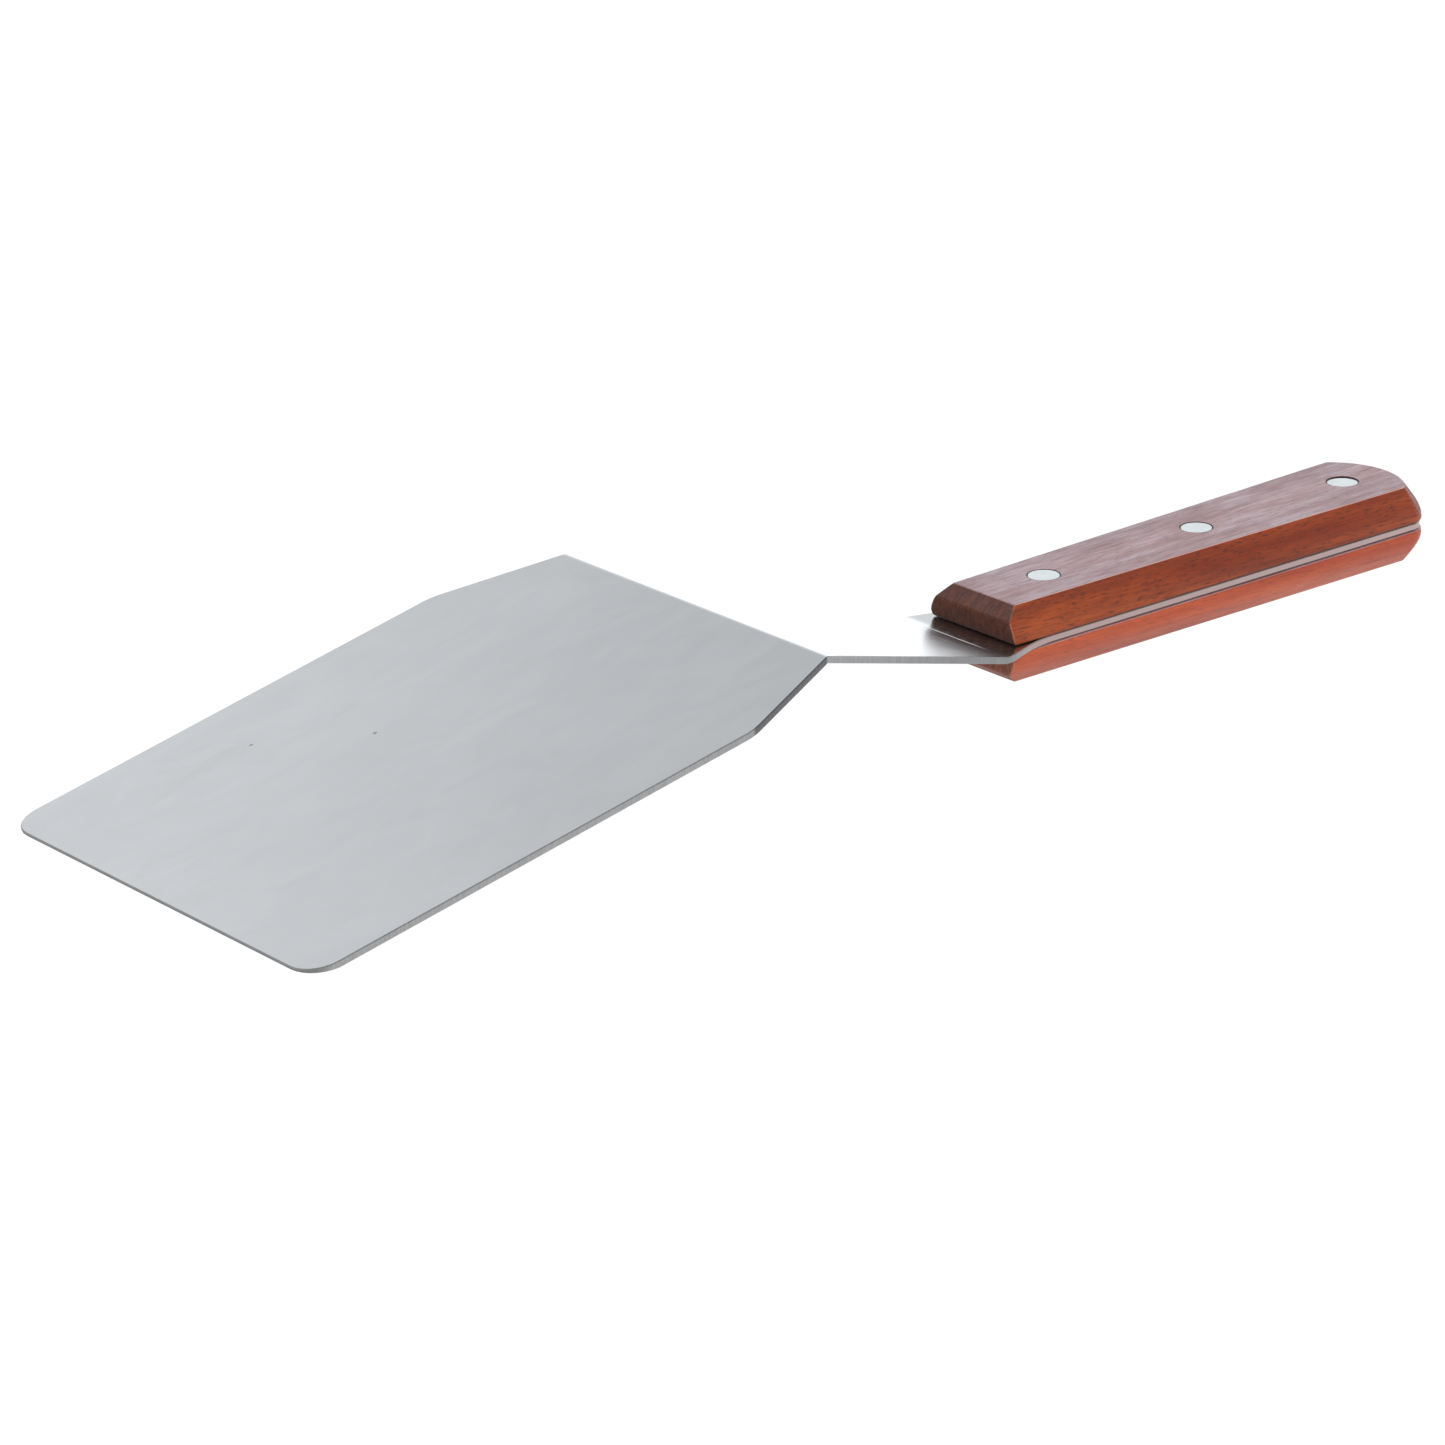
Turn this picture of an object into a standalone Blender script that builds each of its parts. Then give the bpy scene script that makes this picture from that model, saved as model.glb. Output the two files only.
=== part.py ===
"""Solid offset grill turner: one bent steel blade with its shank and full tang, two riveted
hardwood scales, and three two-piece compression rivets.

The turner lies upside-down, as it is put down on a bench: it stands on the tip edge of the
blade and on the lower front edge of the handle.  +X runs from the blade tip to the butt, +Z is
up, the XZ plane is the plane of symmetry, and the origin is the middle of the footprint at
bench height.  Everything is in metres.
"""

from math import acos, asin, atan, atan2, cos, hypot, pi, radians, sin, sqrt, tan

import bmesh
import bpy
from mathutils import Matrix, Vector

MM = 0.001

# Steel sheet and the path it is bent along (lengths run to the crossing of the flats)
SHEET = 1.5 * MM
EDGE_BREAK = 0.2 * MM
BLADE_LENGTH = 132.9 * MM
SHANK_LENGTH = 73.9 * MM
BLADE_TO_SHANK = radians(30.7)
SHANK_TO_TANG = radians(19.5)
RIDGE_RADIUS = 3.2 * MM
VALLEY_RADIUS = 10.0 * MM

# Flat pattern of the sheet, given as half widths
TIP_HALF = 49.9 * MM
REAR_HALF = 51.0 * MM
REAR_AT = 105.4 * MM
RIDGE_HALF = 41.1 * MM
VALLEY_HALF = 16.6 * MM
TIP_CORNER_RADIUS = 6.5 * MM
REAR_CORNER_RADIUS = 12.0 * MM
NECK_RADIUS = 26.0 * MM
TIP_THICKNESS = 0.8 * MM
TIP_GRIND = 7.0 * MM

# Handle, measured along the tang from the crossing of shank and tang
HANDLE_FRONT = 4.3 * MM
FRONT_HALF = 12.9 * MM
FLARE = 0.0224
BUTT_CENTRE = 110.0 * MM
BUTT_RADIUS = 19.5 * MM
BUTT_CORNER_RADIUS = 4.5 * MM
END_FLAT_HALF = 1.0 * MM
SCALE_THICKNESS = 7.5 * MM
UPPER_JOINT = 0.15 * MM
LOWER_JOINT = 0.35 * MM
TANG_RECESS = 0.4 * MM
WOOD_EDGE = 0.22 * MM

# Section of one scale: height above the tang, then the inset at the side, front and butt
SCALE_SECTION = (
    (0.0 * MM, 0.2 * MM, 0.85 * MM, 0.2 * MM),
    (0.4 * MM, 0.05 * MM, 0.5 * MM, 0.05 * MM),
    (0.9 * MM, 0.0 * MM, 0.25 * MM, 0.0 * MM),
    (1.6 * MM, 0.03 * MM, 0.05 * MM, 0.1 * MM),
    (2.4 * MM, 0.2 * MM, 0.0 * MM, 0.38 * MM),
    (3.2 * MM, 0.5 * MM, 0.0 * MM, 0.8 * MM),
    (4.0 * MM, 0.9 * MM, 0.02 * MM, 1.28 * MM),
    (4.6 * MM, 1.27 * MM, 0.08 * MM, 1.68 * MM),
    (5.0 * MM, 1.55 * MM, 0.3 * MM, 1.96 * MM),
    (5.6 * MM, 2.0 * MM, 1.05 * MM, 2.4 * MM),
    (6.3 * MM, 2.56 * MM, 1.93 * MM, 2.92 * MM),
    (7.0 * MM, 3.15 * MM, 2.79 * MM, 3.43 * MM),
    (7.5 * MM, 3.6 * MM, 3.4 * MM, 3.8 * MM),
)

# Two-piece compression rivets through scales and tang
RIVET_FIRST = 24.6 * MM
RIVET_PITCH = 44.3 * MM
RIVET_RECESSES = (0.06 * MM, 0.1 * MM, 0.22 * MM)
HEAD_DIAMETER = 6.9 * MM
HEAD_THICKNESS = 1.2 * MM
HEAD_EDGE = 0.12 * MM
COUNTERBORE_DIAMETER = 7.1 * MM
BODY_DIAMETER = 4.6 * MM
BODY_HOLE_DIAMETER = 5.2 * MM
TUBE_BORE = 3.3 * MM
PIN_DIAMETER = 2.8 * MM
TUBE_LENGTH = 10.5 * MM
PIN_LENGTH = 10.0 * MM
SEAT_GAP = 0.1 * MM

ROUND_STEPS = 48
CORNER_STEPS = 7
BEND_STEPS = 6
SMOOTH_ANGLE = radians(28.0)
BEVEL_ANGLE = radians(25.0)


def clear_scene():
    for obj in list(bpy.data.objects):
        bpy.data.objects.remove(obj, do_unlink=True)


def make_material(name, colour, roughness, metallic):
    material = bpy.data.materials.new(name)
    material.use_nodes = True
    shader = material.node_tree.nodes["Principled BSDF"]
    shader.inputs["Base Color"].default_value = (*colour, 1.0)
    shader.inputs["Roughness"].default_value = roughness
    shader.inputs["Metallic"].default_value = metallic
    return material


def mesh_object(name, points, faces, material=None):
    mesh = bpy.data.meshes.new(name)
    mesh.from_pydata([tuple(point) for point in points], [], faces)
    build = bmesh.new()
    build.from_mesh(mesh)
    bmesh.ops.recalc_face_normals(build, faces=build.faces)
    build.to_mesh(mesh)
    build.free()
    if material:
        mesh.materials.append(material)
    obj = bpy.data.objects.new(name, mesh)
    bpy.context.scene.collection.objects.link(obj)
    return obj


def shade_smooth(obj):
    mesh = obj.data
    mesh.polygons.foreach_set("use_smooth", [True] * len(mesh.polygons))
    mesh.set_sharp_from_angle(angle=SMOOTH_ANGLE)


# ---------------------------------------------------------------- bent path of the sheet


def heading(angle):
    return Vector((cos(angle), sin(angle)))


def ridge_setback():
    return RIDGE_RADIUS * tan(BLADE_TO_SHANK / 2)


def valley_setback():
    return VALLEY_RADIUS * tan(SHANK_TO_TANG / 2)


class BentPath:
    """Side view of the sheet's upper face, with the blade drawn level and its tip at zero.

    A station is the length along that face.  Bend arcs replace the crossings of the flats.
    """

    def __init__(self):
        self.shank_angle = -BLADE_TO_SHANK
        self.tang_angle = SHANK_TO_TANG - BLADE_TO_SHANK
        self.ridge = Vector((BLADE_LENGTH, 0.0))
        self.valley = self.ridge + heading(self.shank_angle) * SHANK_LENGTH
        self.ridge_start = BLADE_LENGTH - ridge_setback()
        self.ridge_end = self.ridge_start + RIDGE_RADIUS * BLADE_TO_SHANK
        flat = SHANK_LENGTH - ridge_setback() - valley_setback()
        self.valley_start = self.ridge_end + flat
        self.valley_end = self.valley_start + VALLEY_RADIUS * SHANK_TO_TANG

    def frame(self, station):
        """The point on the upper face at this station, and the direction of the face."""
        if station <= self.ridge_start:
            return Vector((station, 0.0)), 0.0
        if station <= self.ridge_end:
            turn = (station - self.ridge_start) / RIDGE_RADIUS
            centre = Vector((self.ridge_start, -RIDGE_RADIUS))
            return centre + Vector((sin(turn), cos(turn))) * RIDGE_RADIUS, -turn
        along_shank = heading(self.shank_angle)
        if station <= self.valley_start:
            run = ridge_setback() + station - self.ridge_end
            return self.ridge + along_shank * run, self.shank_angle
        if station <= self.valley_end:
            turn = (station - self.valley_start) / VALLEY_RADIUS
            start = self.valley - along_shank * valley_setback()
            up = Vector((-along_shank.y, along_shank.x))
            centre = start + up * VALLEY_RADIUS
            angle = self.shank_angle + turn
            return centre + Vector((sin(angle), -cos(angle))) * VALLEY_RADIUS, angle
        run = valley_setback() + station - self.valley_end
        return self.valley + heading(self.tang_angle) * run, self.tang_angle

    def tang_station(self, along_tang):
        """The station of a distance measured along the tang from the crossing of the flats."""
        return self.valley_end - valley_setback() + along_tang

    def on_tang(self, along, height):
        up = Vector((-sin(self.tang_angle), cos(self.tang_angle)))
        return self.valley + heading(self.tang_angle) * along + up * height


PATH = BentPath()


def rest_pitch():
    """The pitch that brings the tip edge and the handle's lower front edge to one level."""
    tip = Vector((EDGE_BREAK, -TIP_THICKNESS))
    along = HANDLE_FRONT + SCALE_SECTION[-1][2]
    handle = PATH.on_tang(along, -SHEET - LOWER_JOINT - SCALE_THICKNESS)
    return -atan2(handle.y - tip.y, handle.x - tip.x)


PITCH = rest_pitch()


def to_rest(point):
    """Turns a side-view point with a lateral offset, (x, y, z), into the resting pose."""
    x, y, z = point
    return Vector((x * cos(PITCH) - z * sin(PITCH), y, x * sin(PITCH) + z * cos(PITCH)))


# ---------------------------------------------------------------- outlines
# A half outline is a list of (length, half width, normal along, normal across).


def arc_points(centre, radius, start, end, steps):
    points = []
    for step in range(steps + 1):
        angle = start + (end - start) * step / steps
        normal = (cos(angle), sin(angle))
        points.append((centre[0] + radius * normal[0], centre[1] + radius * normal[1], *normal))
    return points


def line_normal(start, end):
    along, across = end[0] - start[0], end[1] - start[1]
    length = hypot(along, across)
    return -across / length, along / length


def fillet(before, corner, after, radius, steps):
    """Points of the arc that rounds a corner between two straight edges, with normals."""
    first = line_normal(before, corner)
    second = line_normal(corner, after)
    start, end = atan2(first[1], first[0]), atan2(second[1], second[0])
    half_turn = abs(start - end) / 2
    side = 1.0 if start > end else -1.0
    middle = (start + end) / 2
    reach = radius / cos(half_turn)
    centre = (corner[0] - side * reach * cos(middle), corner[1] - side * reach * sin(middle))
    points = []
    for step in range(steps + 1):
        angle = start + (end - start) * step / steps
        normal = (cos(angle), sin(angle))
        place = (centre[0] + side * radius * normal[0], centre[1] + side * radius * normal[1])
        points.append((*place, *normal))
    return points


def handle_half(along):
    """Half width of a scale's base outline at a distance along the tang."""
    return FRONT_HALF + FLARE * (along - HANDLE_FRONT)


def butt_outline(inset, end_inset):
    """The rounded butt of the handle, from the flared side to the end.

    The sides move in by the inset and the end arc by the end inset.
    """
    lean = atan(FLARE)
    radius = BUTT_RADIUS - end_inset
    corner = BUTT_CORNER_RADIUS - inset
    side_offset = inset / cos(lean)
    # The corner arc touches the side line and the end arc from within.
    low, high = BUTT_CENTRE - BUTT_RADIUS, BUTT_CENTRE + BUTT_RADIUS
    for _ in range(60):
        along = (low + high) / 2
        across = handle_half(along) - side_offset - corner / cos(lean)
        if hypot(along - BUTT_CENTRE, across) < radius - corner:
            low = along
        else:
            high = along
    across = handle_half(along) - side_offset - corner / cos(lean)
    side_angle = pi / 2 + lean
    end_angle = atan2(across, along - BUTT_CENTRE)
    points = arc_points((along, across), corner, side_angle, end_angle, CORNER_STEPS)
    last = asin(END_FLAT_HALF / radius)
    points += arc_points((BUTT_CENTRE, 0.0), radius, end_angle, last, CORNER_STEPS)[1:]
    return points


def sheet_half_outline():
    """Half outline of the flat sheet from tip to butt, in stations along the path."""
    corner = TIP_CORNER_RADIUS
    centre = (corner, TIP_HALF - corner)
    points = arc_points(centre, corner, pi, pi / 2, CORNER_STEPS)
    rear = (REAR_AT, REAR_HALF)
    ridge_at = (PATH.ridge_start + PATH.ridge_end) / 2
    valley_at = (PATH.valley_start + PATH.valley_end) / 2
    ridge = (ridge_at, RIDGE_HALF)
    valley = (valley_at, VALLEY_HALF)
    points += fillet((corner, TIP_HALF), rear, ridge, REAR_CORNER_RADIUS, CORNER_STEPS)

    def across_taper(station):
        start, end = (rear, ridge) if station < ridge_at else (ridge, valley)
        share = (station - start[0]) / (end[0] - start[0])
        return start[1] + share * (end[1] - start[1]), line_normal(start, end)

    stations = []
    for start, end in ((PATH.ridge_start, PATH.ridge_end), (PATH.valley_start, PATH.valley_end)):
        stations += [start + (end - start) * step / BEND_STEPS for step in range(BEND_STEPS + 1)]
    for station in stations:
        across, normal = across_taper(station)
        points.append((station, across, *normal))

    # The neck: the taper runs on past the valley until it meets the side of the tang.
    slope = (VALLEY_HALF - RIDGE_HALF) / (valley_at - ridge_at)
    tang_zero = PATH.tang_station(0.0)
    side_at_zero = handle_half(0.0) - TANG_RECESS
    meet = (VALLEY_HALF - slope * valley_at - side_at_zero + FLARE * tang_zero) / (FLARE - slope)
    neck = (meet, side_at_zero + FLARE * (meet - tang_zero))
    beyond = (meet + SHEET, neck[1] + FLARE * SHEET)
    points += fillet(valley, neck, beyond, NECK_RADIUS, CORNER_STEPS)
    for along, across, *normal in butt_outline(TANG_RECESS, TANG_RECESS):
        points.append((PATH.tang_station(along), across, *normal))
    return points


def scale_half_outline(side_inset, front_inset, butt_inset):
    """Half outline of one level of a scale from the front to the butt, along the tang."""
    front = HANDLE_FRONT + front_inset
    points = [(front, handle_half(front) - side_inset)]
    points += [(along, across) for along, across, *_ in butt_outline(side_inset, butt_inset)]
    return points


# ---------------------------------------------------------------- pieces


def thickness_at(station):
    share = min(max(station / TIP_GRIND, 0.0), 1.0)
    return TIP_THICKNESS + (SHEET - TIP_THICKNESS) * share


def place_on_sheet(station, across, depth):
    point, angle = PATH.frame(station)
    x = point.x + depth * sin(angle)
    z = point.y - depth * cos(angle)
    return to_rest((x, across, z))


def build_steel(material):
    """Lofts the sheet along its path: every ring is a thin rectangle with broken edges."""
    points, faces = [], []
    outline = sheet_half_outline()
    for station, across, normal_along, normal_across in outline:
        inner = (station - normal_along * EDGE_BREAK, across - normal_across * EDGE_BREAK)
        outer_depth = thickness_at(station)
        inner_depth = thickness_at(inner[0])
        near = (
            (*inner, 0.0),
            (station, across, EDGE_BREAK),
            (station, across, outer_depth - EDGE_BREAK),
            (*inner, inner_depth),
        )
        ring = list(near) + [(place, -side, depth) for place, side, depth in reversed(near)]
        points += [place_on_sheet(*corner) for corner in ring]
    count = 8
    for ring in range(len(outline) - 1):
        here, there = ring * count, (ring + 1) * count
        for side in range(count):
            following = (side + 1) % count
            faces.append((here + side, here + following, there + following, there + side))
    for ring in (0, len(outline) - 1):
        base = ring * count
        for side in range(3):
            opposite = count - 1 - side
            faces.append((base + side, base + side + 1, base + opposite - 1, base + opposite))
    return mesh_object("blade_shank_tang", points, faces, material)


def build_scale(name, upper, material):
    """Lofts one scale over its levels; the lower scale is the mirror image of the upper."""
    points, faces = [], []
    for height, *insets in SCALE_SECTION:
        if upper:
            level = UPPER_JOINT + height
        else:
            level = -SHEET - LOWER_JOINT - height
        half = scale_half_outline(*insets)
        loop = half + [(along, -across) for along, across in reversed(half)]
        for along, across in loop:
            place = PATH.on_tang(along, level)
            points.append(to_rest((place.x, across, place.y)))
    count = len(loop)
    for level in range(len(SCALE_SECTION) - 1):
        here, there = level * count, (level + 1) * count
        for side in range(count):
            following = (side + 1) % count
            faces.append((here + side, here + following, there + following, there + side))
    faces.append(tuple(range(count)))
    faces.append(tuple(range((len(SCALE_SECTION) - 1) * count, len(points))))
    obj = mesh_object(name, points, faces, material)
    bevel = obj.modifiers.new("softened_edges", "BEVEL")
    bevel.width = WOOD_EDGE
    bevel.segments = 2
    bevel.limit_method = "ANGLE"
    bevel.angle_limit = BEVEL_ANGLE
    return obj


def turned(name, along, profile, material=None, bore=None):
    """A round piece about a rivet axis.

    The profile lists (radius, height) from the upper end down.  A bore (radius, depth) is
    sunk into the lower end when given.
    """
    rings = list(profile)
    if bore:
        radius, depth = bore
        rings += [(radius, profile[-1][1]), (radius, profile[-1][1] + depth)]
    points, faces = [], []
    for radius, height in rings:
        for step in range(ROUND_STEPS):
            angle = 2 * pi * step / ROUND_STEPS
            place = PATH.on_tang(along + radius * cos(angle), height)
            points.append(to_rest((place.x, radius * sin(angle), place.y)))
    for ring in range(len(rings) - 1):
        here, there = ring * ROUND_STEPS, (ring + 1) * ROUND_STEPS
        for step in range(ROUND_STEPS):
            following = (step + 1) % ROUND_STEPS
            faces.append((here + step, here + following, there + following, there + step))
    faces.append(tuple(range(ROUND_STEPS)))
    faces.append(tuple(range((len(rings) - 1) * ROUND_STEPS, len(points))))
    return mesh_object(name, points, faces, material)


UPPER_FACE = UPPER_JOINT + SCALE_THICKNESS
LOWER_FACE = -SHEET - LOWER_JOINT - SCALE_THICKNESS


def rivet_places():
    for index, recess in enumerate(RIVET_RECESSES):
        yield index, RIVET_FIRST + index * RIVET_PITCH, recess


def cut(target, name, along, diameter, top, bottom):
    """Cuts a round hole between two heights out of a piece."""
    cutter = turned(name, along, ((diameter / 2, top), (diameter / 2, bottom)))
    cutter.hide_render = True
    cutter.display_type = "WIRE"
    boolean = target.modifiers.new(name, "BOOLEAN")
    boolean.operation = "DIFFERENCE"
    boolean.solver = "EXACT"
    boolean.object = cutter


def drill(steel, upper, lower):
    """Drills the tang and both scales, and counterbores the scales for the rivet heads."""
    beyond = SHEET
    for index, along, recess in rivet_places():
        seat = recess + HEAD_THICKNESS + SEAT_GAP
        bore = BODY_HOLE_DIAMETER
        cut(steel, f"tang_hole_{index}", along, bore, beyond, -SHEET - beyond)
        cut(upper, f"upper_hole_{index}", along, bore, UPPER_FACE, UPPER_JOINT - beyond)
        cut(lower, f"lower_hole_{index}", along, bore, -beyond, LOWER_FACE)
        sink = COUNTERBORE_DIAMETER
        cut(upper, f"upper_sink_{index}", along, sink, UPPER_FACE + beyond, UPPER_FACE - seat)
        cut(lower, f"lower_sink_{index}", along, sink, LOWER_FACE + seat, LOWER_FACE - beyond)


def build_rivet(label, along, recess, material):
    """The tubular half enters from above and the solid half from below."""
    head = HEAD_DIAMETER / 2
    body = BODY_DIAMETER / 2
    top = UPPER_FACE - recess
    under = top - HEAD_THICKNESS
    tube = (
        (head - HEAD_EDGE, top),
        (head, top - HEAD_EDGE),
        (head, under),
        (body, under),
        (body, under - TUBE_LENGTH),
    )
    bore = (TUBE_BORE / 2, TUBE_LENGTH)
    tube_piece = turned(f"rivet_{label}_tube", along, tube, material, bore)
    foot = LOWER_FACE + recess
    seat = foot + HEAD_THICKNESS
    pin = (
        (PIN_DIAMETER / 2 - HEAD_EDGE, seat + PIN_LENGTH),
        (PIN_DIAMETER / 2, seat + PIN_LENGTH - HEAD_EDGE),
        (PIN_DIAMETER / 2, seat),
        (head, seat),
        (head, foot + HEAD_EDGE),
        (head - HEAD_EDGE, foot),
    )
    pin_piece = turned(f"rivet_{label}_pin", along, pin, material)
    return [tube_piece, pin_piece]


def bake_and_centre(pieces):
    """Applies the modifiers, then puts the origin at the middle of the footprint."""
    graph = bpy.context.evaluated_depsgraph_get()
    for obj in pieces:
        baked = bpy.data.meshes.new_from_object(obj.evaluated_get(graph))
        obj.modifiers.clear()
        obj.data = baked
    for obj in [obj for obj in bpy.data.objects if obj.hide_render]:
        bpy.data.objects.remove(obj, do_unlink=True)
    corners = [vertex.co for obj in pieces for vertex in obj.data.vertices]
    middle = (min(corner.x for corner in corners) + max(corner.x for corner in corners)) / 2
    floor = min(corner.z for corner in corners)
    shift = Matrix.Translation((-middle, 0.0, -floor))
    for obj in pieces:
        obj.data.transform(shift)
        shade_smooth(obj)


def main():
    clear_scene()
    satin_steel = make_material("satin_steel", (0.56, 0.58, 0.59), 0.32, 1.0)
    wood = make_material("oiled_hardwood", (0.30, 0.085, 0.045), 0.42, 0.0)
    rivet_metal = make_material("rivet_metal", (0.74, 0.77, 0.78), 0.35, 1.0)
    steel = build_steel(satin_steel)
    upper = build_scale("scale_upper", True, wood)
    lower = build_scale("scale_lower", False, wood)
    drill(steel, upper, lower)
    pieces = [steel, upper, lower]
    for (_, along, recess), label in zip(rivet_places(), ("front", "middle", "butt")):
        pieces += build_rivet(label, along, recess, rivet_metal)
    bake_and_centre(pieces)


main()
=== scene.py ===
"""Grill spatula (solid offset turner): materials, floor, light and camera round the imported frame.

Lengths are in metres.  Colours are linear.  A pair of numbers named for where something starts
or fades goes into Graph.remap as the values that give nothing and all of it.
"""

import math

import bpy
from mathutils import Matrix, Vector

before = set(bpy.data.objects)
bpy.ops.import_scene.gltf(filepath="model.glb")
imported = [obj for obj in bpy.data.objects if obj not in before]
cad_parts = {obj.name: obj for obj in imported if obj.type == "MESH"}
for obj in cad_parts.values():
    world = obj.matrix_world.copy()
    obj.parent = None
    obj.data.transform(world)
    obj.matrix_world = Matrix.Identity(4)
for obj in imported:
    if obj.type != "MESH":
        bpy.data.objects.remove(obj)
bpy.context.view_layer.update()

# Camera: angles in degrees, lens and sensor in millimetres
LOOK_AT = Vector((0.0, 0.0, 0.015))
CAMERA_AZIMUTH = -39.672
CAMERA_ELEVATION = 19.708
CAMERA_ROLL = 0.239
CAMERA_DISTANCE = 1.1276
CAMERA_RIGHT = -0.0213
CAMERA_UP = -0.0158
CAMERA_LENS = 138.555
CAMERA_SENSOR = 36.0
CAMERA_NEAR = 0.05
CAMERA_FAR = 30.0

# The values that a noise texture mostly keeps to, and the tighter range round its middle
NOISE_RANGE = (0.3, 0.7)
NOISE_CORE = (0.35, 0.65)

# Steel textures: cycles per metre along X, Y and Z, octaves, and distortion
STEEL_CLOUD = ((14.0, 20.0, 14.0), 3.0, 0.0)
STEEL_VEIL = ((60.0, 130.0, 60.0), 3.0, 0.8)
STEEL_BRUSHING = ((14.0, 1600.0, 400.0), 2.0, 0.0)
STEEL_SMEARS = ((45.0, 70.0, 45.0), 4.0, 1.0)
EDGE_STROKES = ((2600.0, 300.0, 300.0), 2.0, 0.0)

# Faces of the sheet
STEEL_DARK = (0.555, 0.56, 0.575, 1.0)
STEEL_LIGHT = (0.605, 0.61, 0.625, 1.0)
CLOUD_SHARE = 0.6
SATIN_ROUGHNESS = (0.20, 0.23)
BRUSHING_ROUGHNESS = 0.01
SHANK_ROUGHNESS = 0.09
SHANK_ROUGHER_ALONG = (0.0, 0.034, 0.003)
STEEL_BUMP = (0.00001, 0.04)

# Handling marks: bands are centre, half width and fade; a speck is its place and its size
SMUDGE = (0.30, 0.30, 0.30, 1.0)
SMUDGE_ALONG = (-0.137, 0.008, 0.016)
SMUDGE_ACROSS = (0.037, 0.004, 0.012)
SMUDGE_PATCHES = (0.48, 0.62)
SMUDGE_STRENGTH = 0.08
SPECK = (0.10, 0.10, 0.11, 1.0)
SPECKS = ((-0.10304, 0.01432, 0.0007), (-0.11951, 0.03264, 0.0006))
SPECK_NARROWER = 0.8
SPECK_STRENGTH = 0.9

# The press line in the valley bend, on the upper face only, painted near white as a highlight for
# the glint along the crease
CREASE_HIGHLIGHT = (0.95, 0.92, 0.88, 1.0)
CREASE_ALONG = (0.0338, 0.00012, 0.00025)
CREASE_ACROSS = (0.004, 0.009, 0.008)
CREASE_FACING = (0.5, 0.6)
CREASE_ROUGHNESS = 0.8

# A painted dark line along the shank's edges, standing in for their shade: where the shank runs,
# and its half width at both ends
SHANK_SPAN = (-0.0354, 0.0351)
SHANK_HALF = (0.0411, 0.0166)
SHANK_RIM_SHADE = (0.20, 0.20, 0.21, 1.0)
RIM_FADES = (0.0009, 0.0003)
RIM_ALONG = (0.0, 0.030, 0.004)
RIM_STRENGTH = 0.55

# Cut edges of the sheet, by how nearly vertical a face stands, and the tones along them; the dark
# taper and tip tones are painted shade, and the light pink tang edge is painted light
CUT_FACING = (0.92, 0.78)
CUT_ROUGHNESS = 0.3
EDGE_DARK = (0.44, 0.44, 0.447, 1.0)
EDGE_LIGHT = (0.52, 0.52, 0.527, 1.0)
TAPER_EDGE_SHADE = (0.10, 0.10, 0.105, 1.0)
TAPER_ALONG = (-0.0487, 0.0125, 0.0012)
TAPER_STRENGTH = 0.75
TIP_EDGE_SHADE = (0.12, 0.12, 0.12, 1.0)
TIP_STARTS = (-0.1595, -0.1625)
TIP_STRENGTH = 0.6
EDGE_NEAR_BEND = (0.12, 0.12, 0.125, 1.0)
NEAR_BEND_STARTS = (-0.020, 0.015)
NEAR_BEND_ENDS = (0.042, 0.034)
NEAR_BEND_STRENGTH = 0.25
LIT_PINK_TANG_EDGE = (0.60, 0.465, 0.445, 1.0)
TANG_EDGE_STARTS = (0.036, 0.046)
TANG_EDGE_STRENGTH = 0.9

# Handle: the tang's own directions and offsets, and the rivets along it
TANG_ALONG = (0.99935, 0.0, 0.03594)
TANG_UP = (-0.03594, 0.0, 0.99935)
TANG_START = 0.035453
TANG_LEVEL = 0.007818
RIVETS = (0.0246, 0.0689, 0.1132)
SINKING_RADIUS = 0.00355
SINKING_FADE = 0.00025

# Wood textures, as for the steel
BROAD_STREAKS = ((7.0, 130.0, 130.0), 3.0, 0.2)
STREAKS = ((22.0, 520.0, 520.0), 3.0, 0.3)
FINE_LINES = ((120.0, 2300.0, 2300.0), 3.0, 0.0)
PORES = ((480.0, 3000.0, 3000.0), 2.0, 0.0)
PATCHES = ((45.0, 110.0, 110.0), 4.0, 0.6)
END_RINGS = ((200.0, 1100.0, 420.0), 4.0, 0.0)
END_RINGS_ROUGH = 0.6
END_DOTS = ((900.0, 2600.0, 2600.0), 2.0, 0.0)

# Wood colours before each board's tone, and the tones and figure of the two boards; the lower
# board's paler, bluer tones and fainter figure are painted light for the floor's bounce light and
# sheen on it
WOOD_DARK = (0.190, 0.025, 0.007)
WOOD_LIGHT = (0.315, 0.058, 0.012)
WOOD_LINE = (0.110, 0.016, 0.008)
WOOD_PORE = (0.045, 0.009, 0.006)
END_DARK = (0.047, 0.010, 0.005)
END_LIGHT = (0.126, 0.034, 0.017)
PLAIN_TONE = (1.0, 1.0, 1.0)
FLOOR_LIT_TONE = (1.62, 1.75, 2.9)
FLOOR_LIT_END_TONE = (2.4, 2.9, 3.4)
FULL_FIGURE = 1.0
FLOOR_LIT_FIGURE = 0.45

# Long grain: where each layer shows in its texture, and how strongly
STREAK_SHOWS = (0.45, 0.70)
STREAK_STRENGTH = 0.55
LINE_SHOWS = (0.40, 0.65)
LINE_STRENGTH = 0.40
PATCH_SHOWS = (0.45, 0.70)
PATCH_STRENGTH = 0.30
PORE_SHOWS = (0.56, 0.66)
PORE_STRENGTH = 0.45
PORE_OVER_SHEEN = 0.28

# End grain, by how squarely a face looks along the handle
END_FACING = (0.45, 0.62)
DOT_SHOWS = (0.48, 0.66)
DOT_STRENGTH = 0.5

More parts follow.
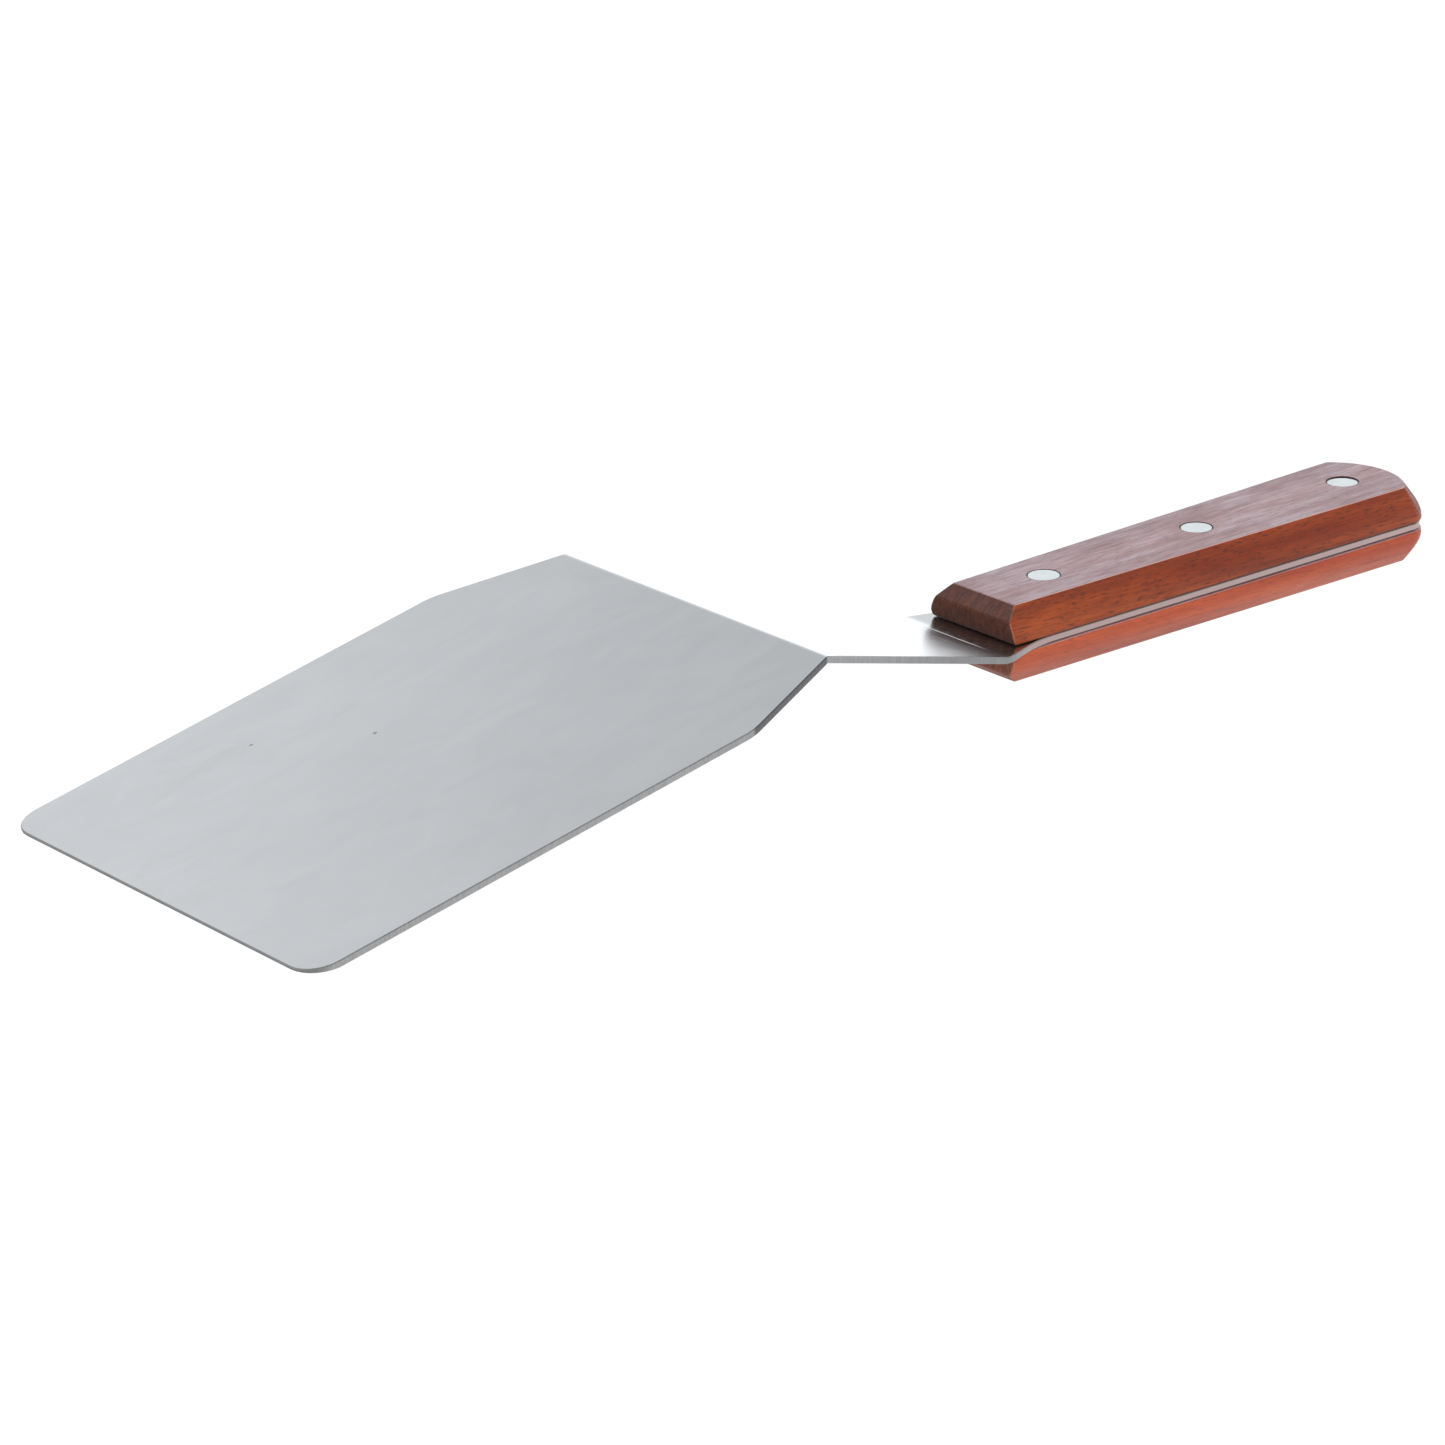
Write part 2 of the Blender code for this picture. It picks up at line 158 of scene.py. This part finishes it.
# Painted sheen on the broad face, a lilac tint standing in for its grazing reflection, by how
# squarely a face looks away from the tang
PAINTED_TOP_SHEEN = (0.49, 0.44, 0.51, 1.0)
SHEEN_FACING = (0.70, 0.97)
SHEEN_IN_LINES = (0.30, 0.10)
SHEEN_IN_STREAKS = (0.36, 0.14)
SHEEN_IN_PATCHES = (1.25, 0.72)
SHEEN_ON_ENDS = 0.25

# Wear with a painted highlight on the front corners and on the long upper edges
CORNER_WEAR_HIGHLIGHT = (0.48, 0.20, 0.12, 1.0)
CORNER_FACING = (0.30, 0.45)
CORNER_ALONG = (0.012, 0.009)
CORNER_STRENGTH = 0.75
ARRIS_WEAR_HIGHLIGHT = (0.62, 0.35, 0.29, 1.0)
ARRIS_RISES = (0.68, 0.78)
ARRIS_FALLS = (0.97, 0.93)
ARRIS_SIDEWAYS = (0.2, 0.4)
ARRIS_OFF_ENDS = (0.25, 0.12)
ARRIS_STRENGTH = 0.7

# Painted shade along the joint with the tang and in the rivet sinkings
PAINTED_SHADE = (0.030, 0.015, 0.013, 1.0)
SEAM_FADES = (0.00055, 0.00025)
SEAM_STRENGTH = 0.6
SINKING_STRENGTH = 0.9

# Finish of the wood
POLISH_ROUGHNESS = (0.38, 0.52)
END_ROUGHNESS = 0.25
OIL_SPECULAR = 0.45
OIL_TINT = (1.0, 0.75, 0.62, 1.0)
NAP_WEIGHT = 0.1
NAP_ROUGHNESS = 0.4
NAP_TINT = (0.82, 0.88, 1.0, 1.0)
PORE_DEPTH = -1.5
WOOD_BUMP = (0.00008, 0.35)

# Rivet metal
RIVET_SPECKS = ((2500.0, 2500.0, 2500.0), 2.0, 0.0)
RIVET_CLOUD = ((300.0, 300.0, 300.0), 2.0, 0.0)
RIVET_DARK = (0.58, 0.61, 0.63, 1.0)
RIVET_LIGHT = (0.64, 0.67, 0.69, 1.0)
RIVET_ROUGHNESS = (0.12, 0.17)
RIVET_BUMP = (0.00002, 0.15)

# Floor: its brightness as seen, and as it shines back near the object and further behind it
BLACK = (0.0, 0.0, 0.0, 1.0)
WHITE = (1.0, 1.0, 1.0, 1.0)
FLOOR_HALF = 6.0
FLOOR_DROP = 0.0003
FLOOR_SEEN = 1.02
FLOOR_NEAR = 0.8
FLOOR_BEHIND = 2.2
FLOOR_BRIGHTENS = (0.05, 0.35)

# Sky: a bright horizon and a plainer middle behind the object, and a tilted upper part.
# Fades are heights of the direction, or how far it leans to the side that is named.
BACKDROP_DIRECTION = (0.682, 0.731, 0.0)
BRIGHT_SIDE = (-0.731, 0.682, 0.0)
REAR_FADES = (0.35, 0.85)
REAR_LEAST = 0.3
HORIZON_GLOW = 2.2
HORIZON_FADES = (0.05, 0.28)
MIDDLE_SKY = 1.15
MIDDLE_FADES = (0.42, 0.52)
UPPER_SKY = 0.28
UPPER_TILT = 2.4
UPPER_LEAST = 0.42
UPPER_MOST = 1.05
SKY_TINT = (0.955, 0.985, 1.0, 1.0)

# Key light
KEY_PLACE = Vector((0.0, -1.3, 0.9))
KEY_SIZE = 1.6
KEY_POWER = 21.2


class Graph:
    """Short calls for building a node tree; each gives the socket that holds its result."""

    def __init__(self, tree):
        self.tree = tree
        tree.nodes.clear()

    def node(self, kind, **settings):
        made = self.tree.nodes.new(kind)
        for key, value in settings.items():
            setattr(made, key, value)
        return made

    def link(self, source, target):
        self.tree.links.new(source, target)

    def feed(self, target, value):
        if isinstance(value, bpy.types.NodeSocket):
            self.link(value, target)
        else:
            target.default_value = value

    def math(self, operation, first, second=0.0):
        made = self.node("ShaderNodeMath", operation=operation)
        self.feed(made.inputs[0], first)
        self.feed(made.inputs[1], second)
        return made.outputs[0]

    def plus(self, first, second):
        return self.math("ADD", first, second)

    def minus(self, first, second):
        return self.math("SUBTRACT", first, second)

    def times(self, first, second):
        return self.math("MULTIPLY", first, second)

    def absolute(self, value):
        return self.math("ABSOLUTE", value)

    def remap(self, value, low, high, out_low=0.0, out_high=1.0, smooth=False):
        kind = "SMOOTHSTEP" if smooth else "LINEAR"
        made = self.node("ShaderNodeMapRange", interpolation_type=kind, clamp=True)
        settings = (value, low, high, out_low, out_high)
        for slot, setting in zip(made.inputs[:5], settings):
            self.feed(slot, setting)
        return made.outputs[0]

    def split(self, vector):
        made = self.node("ShaderNodeSeparateXYZ")
        self.link(vector, made.inputs[0])
        return made.outputs

    def dot(self, vector, direction):
        made = self.node("ShaderNodeVectorMath", operation="DOT_PRODUCT")
        self.link(vector, made.inputs[0])
        made.inputs[1].default_value = direction
        return made.outputs["Value"]

    def length(self, x, y):
        flat = self.node("ShaderNodeCombineXYZ")
        self.link(x, flat.inputs["X"])
        self.link(y, flat.inputs["Y"])
        made = self.node("ShaderNodeVectorMath", operation="LENGTH")
        self.link(flat.outputs[0], made.inputs[0])
        return made.outputs["Value"]

    def band(self, value, centre, half, soft):
        """One inside centre +- half, fading to zero over soft."""
        away = self.absolute(self.minus(value, centre))
        return self.remap(away, half, half + soft, 1.0, 0.0, smooth=True)

    def mix(self, factor, first, second):
        made = self.node("ShaderNodeMix", data_type="RGBA", blend_type="MIX")
        self.feed(made.inputs[0], factor)
        self.feed(made.inputs[6], first)
        self.feed(made.inputs[7], second)
        return made.outputs[2]

    def stain(self, base, mask, strength, colour):
        """The base with a colour laid over it where the mask is one, as far as strength says."""
        return self.mix(self.times(mask, strength), base, colour)


class Paint(Graph):
    """A material's tree, round one Principled shader, with textures in the object's own space."""

    def __init__(self, name):
        self.material = bpy.data.materials.new(name)
        self.material.use_nodes = True
        super().__init__(self.material.node_tree)
        self.shader = self.node("ShaderNodeBsdfPrincipled")
        output = self.node("ShaderNodeOutputMaterial")
        self.link(self.shader.outputs["BSDF"], output.inputs["Surface"])
        coordinates = self.node("ShaderNodeTexCoord")
        self.place = coordinates.outputs["Object"]
        self.normal = coordinates.outputs["Normal"]

    def texture(self, stretch, octaves, distortion, rough=0.5):
        turned = self.node("ShaderNodeMapping")
        self.link(self.place, turned.inputs["Vector"])
        turned.inputs["Scale"].default_value = stretch
        made = self.node("ShaderNodeTexNoise")
        self.link(turned.outputs[0], made.inputs["Vector"])
        made.inputs["Scale"].default_value = 1.0
        made.inputs["Detail"].default_value = octaves
        made.inputs["Roughness"].default_value = rough
        made.inputs["Distortion"].default_value = distortion
        return made.outputs["Fac"]

    def bump(self, height, distance, strength):
        made = self.node("ShaderNodeBump")
        made.inputs["Strength"].default_value = strength
        made.inputs["Distance"].default_value = distance
        self.link(height, made.inputs["Height"])
        self.set("Normal", made.outputs[0])

    def set(self, socket, value):
        self.feed(self.shader.inputs[socket], value)


def marked_sheet(g, along, across, veil):
    """Clouded satin faces with a faint smudge near the tip and two dark specks."""
    cloud = g.texture(*STEEL_CLOUD)
    clouds = g.remap(cloud, *NOISE_RANGE, 0.0, CLOUD_SHARE)
    veils = g.remap(veil, *NOISE_CORE, 0.0, 1.0 - CLOUD_SHARE)
    sheet = g.mix(g.plus(clouds, veils), STEEL_DARK, STEEL_LIGHT)
    smeared = g.remap(g.texture(*STEEL_SMEARS), *SMUDGE_PATCHES)
    smudge_area = g.times(g.band(along, *SMUDGE_ALONG), g.band(across, *SMUDGE_ACROSS))
    sheet = g.stain(sheet, g.times(smudge_area, smeared), SMUDGE_STRENGTH, SMUDGE)
    for x, y, size in SPECKS:
        spot = g.times(g.band(along, x, 0.0, size), g.band(across, y, 0.0, size * SPECK_NARROWER))
        sheet = g.stain(sheet, spot, SPECK_STRENGTH, SPECK)
    return sheet


def shank_rim_shade(g, along, across):
    # Painted shade: a dark line inside both edges of the shank.
    edge_at = g.remap(along, *SHANK_SPAN, *SHANK_HALF)
    inside = g.minus(edge_at, g.absolute(across))
    return g.times(g.remap(inside, *RIM_FADES), g.band(along, *RIM_ALONG))


def cut_edges(g, along, strokes):
    """Darker along the taper and at the tip as painted shade, darker just before the handle, and
    lighter beside the handle as painted light with a pink painted reflection of the wood.
    """
    edge = g.mix(g.remap(strokes, *NOISE_CORE), EDGE_DARK, EDGE_LIGHT)
    # Painted shade: the taper edge darkened for the dark floor it reflects.
    edge = g.stain(edge, g.band(along, *TAPER_ALONG), TAPER_STRENGTH, TAPER_EDGE_SHADE)
    # Painted shade: the tip edge darkened for the contact shade where it meets the floor.
    edge = g.stain(edge, g.remap(along, *TIP_STARTS), TIP_STRENGTH, TIP_EDGE_SHADE)
    # Darker along the sheet's edges just before the handle.
    near_bend = g.times(g.remap(along, *NEAR_BEND_STARTS), g.remap(along, *NEAR_BEND_ENDS))
    edge = g.stain(edge, near_bend, NEAR_BEND_STRENGTH, EDGE_NEAR_BEND)
    # Painted light: the tang edges lightened and tinted pink, a painted reflection of the wood.
    return g.stain(edge, g.remap(along, *TANG_EDGE_STARTS), TANG_EDGE_STRENGTH, LIT_PINK_TANG_EDGE)


def steel():
    """Satin stainless sheet with fine lengthwise brushing and dull cut edges."""
    g = Paint("satin_stainless")
    upward = g.split(g.normal)["Z"]
    place = g.split(g.place)
    along = place["X"]
    across = place["Y"]
    veil = g.texture(*STEEL_VEIL)
    brushing = g.texture(*STEEL_BRUSHING)
    strokes = g.texture(*EDGE_STROKES)
    cut = g.remap(g.absolute(upward), *CUT_FACING)
    crease = g.times(g.band(along, *CREASE_ALONG), g.band(across, *CREASE_ACROSS))
    crease = g.times(crease, g.remap(upward, *CREASE_FACING))

    # Painted highlight: the near-white press line along the valley crease.
    sheet = g.mix(crease, marked_sheet(g, along, across, veil), CREASE_HIGHLIGHT)
    sheet = g.stain(sheet, shank_rim_shade(g, along, across), RIM_STRENGTH, SHANK_RIM_SHADE)
    g.set("Base Color", g.mix(cut, sheet, cut_edges(g, along, strokes)))
    g.set("Metallic", g.remap(crease, 0.0, 1.0, 1.0, 0.0))

    rough = g.remap(veil, *NOISE_RANGE, *SATIN_ROUGHNESS)
    brushed = g.remap(brushing, *NOISE_RANGE, -BRUSHING_ROUGHNESS, BRUSHING_ROUGHNESS)
    rough = g.plus(rough, brushed)
    rough = g.plus(rough, g.times(g.band(along, *SHANK_ROUGHER_ALONG), SHANK_ROUGHNESS))
    rough = g.math("MAXIMUM", rough, g.times(crease, CREASE_ROUGHNESS))
    g.set("Roughness", g.plus(rough, g.times(cut, CUT_ROUGHNESS)))
    g.bump(g.mix(cut, brushing, strokes), *STEEL_BUMP)
    return g.material


def toned(colour, tone):
    return tuple(channel * factor for channel, factor in zip(colour, tone)) + (1.0,)


def long_grain(g, tone, figure, streak, fine, patch, pores):
    """Broad streaks, narrower ones, fine lines, darker patches and open pores."""
    line = toned(WOOD_LINE, tone)
    broad = g.remap(g.texture(*BROAD_STREAKS), *NOISE_CORE)
    board = g.mix(broad, toned(WOOD_DARK, tone), toned(WOOD_LIGHT, tone))
    board = g.mix(g.remap(streak, *STREAK_SHOWS, 0.0, STREAK_STRENGTH * figure), board, line)
    board = g.mix(g.remap(fine, *LINE_SHOWS, 0.0, LINE_STRENGTH * figure), board, line)
    board = g.mix(g.remap(patch, *PATCH_SHOWS, 0.0, PATCH_STRENGTH * figure), board, line)
    return g.stain(board, pores, PORE_STRENGTH * figure, toned(WOOD_PORE, tone))


def end_grain(g, tone):
    rings = g.remap(g.texture(*END_RINGS, rough=END_RINGS_ROUGH), *NOISE_CORE)
    face = g.mix(rings, toned(END_DARK, tone), toned(END_LIGHT, tone))
    dots = g.remap(g.texture(*END_DOTS), *DOT_SHOWS, 0.0, DOT_STRENGTH)
    return g.mix(dots, face, toned(WOOD_PORE, tone))


def painted_sheen_mask(g, lift, end, streak, fine, patch):
    """The painted sheen on the broad face, thinner in dark grain and on the end chamfers."""
    lines = g.remap(fine, *NOISE_CORE, *SHEEN_IN_LINES)
    streaks = g.remap(streak, *NOISE_RANGE, *SHEEN_IN_STREAKS)
    uneven = g.times(g.plus(lines, streaks), g.remap(patch, *NOISE_CORE, *SHEEN_IN_PATCHES))
    top_sheen = g.times(g.remap(lift, *SHEEN_FACING), uneven)
    return g.times(top_sheen, g.remap(end, 0.0, 1.0, 1.0, SHEEN_ON_ENDS))


def wear_and_edge_highlights(g, board, along, lift, endways, sideways):
    """Lighter wood on the upright front corners and along the long upper edges: wear, with a
    painted highlight where the edges catch the light.
    """
    corner = g.times(g.remap(endways, *CORNER_FACING), g.remap(sideways, *CORNER_FACING))
    corner = g.times(corner, g.remap(along, *CORNER_ALONG))
    board = g.stain(board, corner, CORNER_STRENGTH, CORNER_WEAR_HIGHLIGHT)
    arris = g.times(g.remap(lift, *ARRIS_RISES), g.remap(lift, *ARRIS_FALLS))
    arris = g.times(arris, g.remap(sideways, *ARRIS_SIDEWAYS))
    arris = g.times(arris, g.remap(endways, *ARRIS_OFF_ENDS))
    return g.stain(board, arris, ARRIS_STRENGTH, ARRIS_WEAR_HIGHLIGHT)


def joint_and_sinking_shade(g, board, along, across, level):
    """Painted shade: darker wood along the joint with the tang, and in the rivet sinkings."""
    seam = g.remap(g.absolute(level), *SEAM_FADES)
    board = g.stain(board, seam, SEAM_STRENGTH, PAINTED_SHADE)
    for centre in RIVETS:
        away = g.length(g.minus(along, centre), across)
        sunk = g.remap(away, SINKING_RADIUS + SINKING_FADE, SINKING_RADIUS)
        board = g.stain(board, sunk, SINKING_STRENGTH, PAINTED_SHADE)
    return board


def wood(name, tone, end_tone, figure):
    """Oiled hardwood with its grain along the handle; the lower board's paler tone is painted light
    for the floor's bounce light.
    """
    g = Paint(name)
    facing = g.split(g.normal)
    endways = g.absolute(facing["X"])
    sideways = g.absolute(facing["Y"])
    lift = g.dot(g.normal, TANG_UP)
    level = g.minus(g.dot(g.place, TANG_UP), TANG_LEVEL)
    along = g.minus(g.dot(g.place, TANG_ALONG), TANG_START)
    across = g.split(g.place)["Y"]
    streak = g.texture(*STREAKS)
    fine = g.texture(*FINE_LINES)
    patch = g.texture(*PATCHES)
    pores = g.remap(g.texture(*PORES), *PORE_SHOWS)
    end = g.remap(endways, *END_FACING)

    board = long_grain(g, tone, figure, streak, fine, patch, pores)
    board = g.mix(end, board, end_grain(g, end_tone))
    # Painted sheen: a lilac tint on the up-facing broad faces, standing in for their grazing
    # reflection.
    board = g.mix(painted_sheen_mask(g, lift, end, streak, fine, patch), board, PAINTED_TOP_SHEEN)
    board = g.stain(board, pores, PORE_OVER_SHEEN * figure, toned(WOOD_PORE, tone))
    board = wear_and_edge_highlights(g, board, along, lift, endways, sideways)
    g.set("Base Color", joint_and_sinking_shade(g, board, along, across, level))

    polish = g.remap(fine, *NOISE_RANGE, *POLISH_ROUGHNESS)
    g.set("Roughness", g.plus(polish, g.times(end, END_ROUGHNESS)))
    g.set("Specular IOR Level", OIL_SPECULAR)
    g.set("Specular Tint", OIL_TINT)
    g.set("Sheen Weight", NAP_WEIGHT)
    g.set("Sheen Roughness", NAP_ROUGHNESS)
    g.set("Sheen Tint", NAP_TINT)
    g.bump(g.plus(fine, g.times(pores, PORE_DEPTH)), *WOOD_BUMP)
    return g.material


def rivet():
    """Bright spun metal with a trace of clouding."""
    g = Paint("spun_rivet_metal")
    specks = g.texture(*RIVET_SPECKS)
    clouds = g.remap(g.texture(*RIVET_CLOUD), *NOISE_RANGE)
    g.set("Base Color", g.mix(clouds, RIVET_DARK, RIVET_LIGHT))
    g.set("Metallic", 1.0)
    g.set("Roughness", g.remap(specks, *NOISE_RANGE, *RIVET_ROUGHNESS))
    g.bump(specks, *RIVET_BUMP)
    return g.material


def dress():
    """Gives every node the finish that the start of its name calls for."""
    finishes = {
        "blade": steel(),
        "scale_upper": wood("oiled_hardwood", PLAIN_TONE, PLAIN_TONE, FULL_FIGURE),
        # Painted light: the lower board paler and bluer, for the floor's bounce light and sheen on
        # it.
        "scale_lower": wood("oiled_hardwood_floor_lit", FLOOR_LIT_TONE, FLOOR_LIT_END_TONE, FLOOR_LIT_FIGURE),
        "rivet": rivet(),
    }
    for name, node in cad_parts.items():
        finish = next(made for stem, made in finishes.items() if name.startswith(stem))
        if not node.material_slots:
            node.data.materials.append(None)
        for slot in node.material_slots:
            slot.link = "OBJECT"
            slot.material = finish


def make_floor():
    """A plain floor that looks evenly white, and that shines back brighter behind the object."""
    mesh = bpy.data.meshes.new("floor")
    corners = [(-1, -1), (1, -1), (1, 1), (-1, 1)]
    points = [(x * FLOOR_HALF, y * FLOOR_HALF, -FLOOR_DROP) for x, y in corners]
    mesh.from_pydata(points, [], [(0, 1, 2, 3)])
    floor = bpy.data.objects.new("floor", mesh)
    bpy.context.scene.collection.objects.link(floor)
    g = Paint("pale_floor")
    seen = g.node("ShaderNodeLightPath").outputs["Is Camera Ray"]
    behind = g.dot(g.place, BACKDROP_DIRECTION)
    glow = g.remap(behind, *FLOOR_BRIGHTENS, FLOOR_NEAR, FLOOR_BEHIND, smooth=True)
    g.set("Base Color", BLACK)
    g.set("Specular IOR Level", 0.0)
    g.set("Roughness", 1.0)
    g.set("Emission Color", WHITE)
    g.set("Emission Strength", g.remap(seen, 0.0, 1.0, glow, FLOOR_SEEN))
    floor.data.materials.append(g.material)


def make_sky():
    """Soft studio surroundings, with the brightness worked out from the direction alone."""
    world = bpy.data.worlds.new("studio")
    world.use_nodes = True
    bpy.context.scene.world = world
    g = Graph(world.node_tree)
    direction = g.node("ShaderNodeTexCoord").outputs["Generated"]
    height = g.split(direction)["Z"]
    rear = g.remap(
        g.dot(direction, BACKDROP_DIRECTION), *REAR_FADES, REAR_LEAST, 1.0, smooth=True
    )
    horizon = g.times(g.remap(height, *HORIZON_FADES, 1.0, 0.0, smooth=True), rear)
    middle = g.times(g.remap(height, *MIDDLE_FADES, 1.0, 0.0, smooth=True), rear)
    upper = g.plus(g.times(g.dot(direction, BRIGHT_SIDE), UPPER_TILT), UPPER_SKY)
    upper = g.math("MINIMUM", g.math("MAXIMUM", upper, UPPER_LEAST), UPPER_MOST)
    plain = g.remap(middle, 0.0, 1.0, upper, MIDDLE_SKY)
    sky = g.node("ShaderNodeBackground")
    sky.inputs["Color"].default_value = SKY_TINT
    g.link(g.remap(horizon, 0.0, 1.0, plain, HORIZON_GLOW), sky.inputs["Strength"])
    output = g.node("ShaderNodeOutputWorld")
    g.link(sky.outputs[0], output.inputs["Surface"])


def make_key_light():
    """A large soft light in front, kept out of the steel's reflections."""
    data = bpy.data.lights.new("key", "AREA")
    data.energy = KEY_POWER
    data.size = KEY_SIZE
    key = bpy.data.objects.new("key", data)
    key.location = KEY_PLACE
    key.rotation_euler = (LOOK_AT - KEY_PLACE).to_track_quat("-Z", "Y").to_euler()
    key.visible_glossy = False
    bpy.context.scene.collection.objects.link(key)


def make_camera():
    azimuth = math.radians(CAMERA_AZIMUTH)
    elevation = math.radians(CAMERA_ELEVATION)
    roll = math.radians(CAMERA_ROLL)
    level = math.cos(elevation)
    back = Vector((math.sin(azimuth) * level, -math.cos(azimuth) * level, math.sin(elevation)))
    right = Vector((math.cos(azimuth), math.sin(azimuth), 0.0))
    up = back.cross(right)
    turned_right = right * math.cos(roll) + up * math.sin(roll)
    turned_up = up * math.cos(roll) - right * math.sin(roll)
    data = bpy.data.cameras.new("camera")
    data.sensor_width = CAMERA_SENSOR
    data.lens = CAMERA_LENS
    data.clip_start = CAMERA_NEAR
    data.clip_end = CAMERA_FAR
    camera = bpy.data.objects.new("camera", data)
    place = LOOK_AT + back * CAMERA_DISTANCE + turned_right * CAMERA_RIGHT + turned_up * CAMERA_UP
    turn = Matrix((turned_right, turned_up, back)).transposed().to_4x4()
    camera.matrix_world = Matrix.Translation(place) @ turn
    bpy.context.scene.collection.objects.link(camera)
    bpy.context.scene.camera = camera


dress()
make_floor()
make_sky()
make_key_light()
make_camera()
bpy.context.scene.view_settings.view_transform = "Standard"
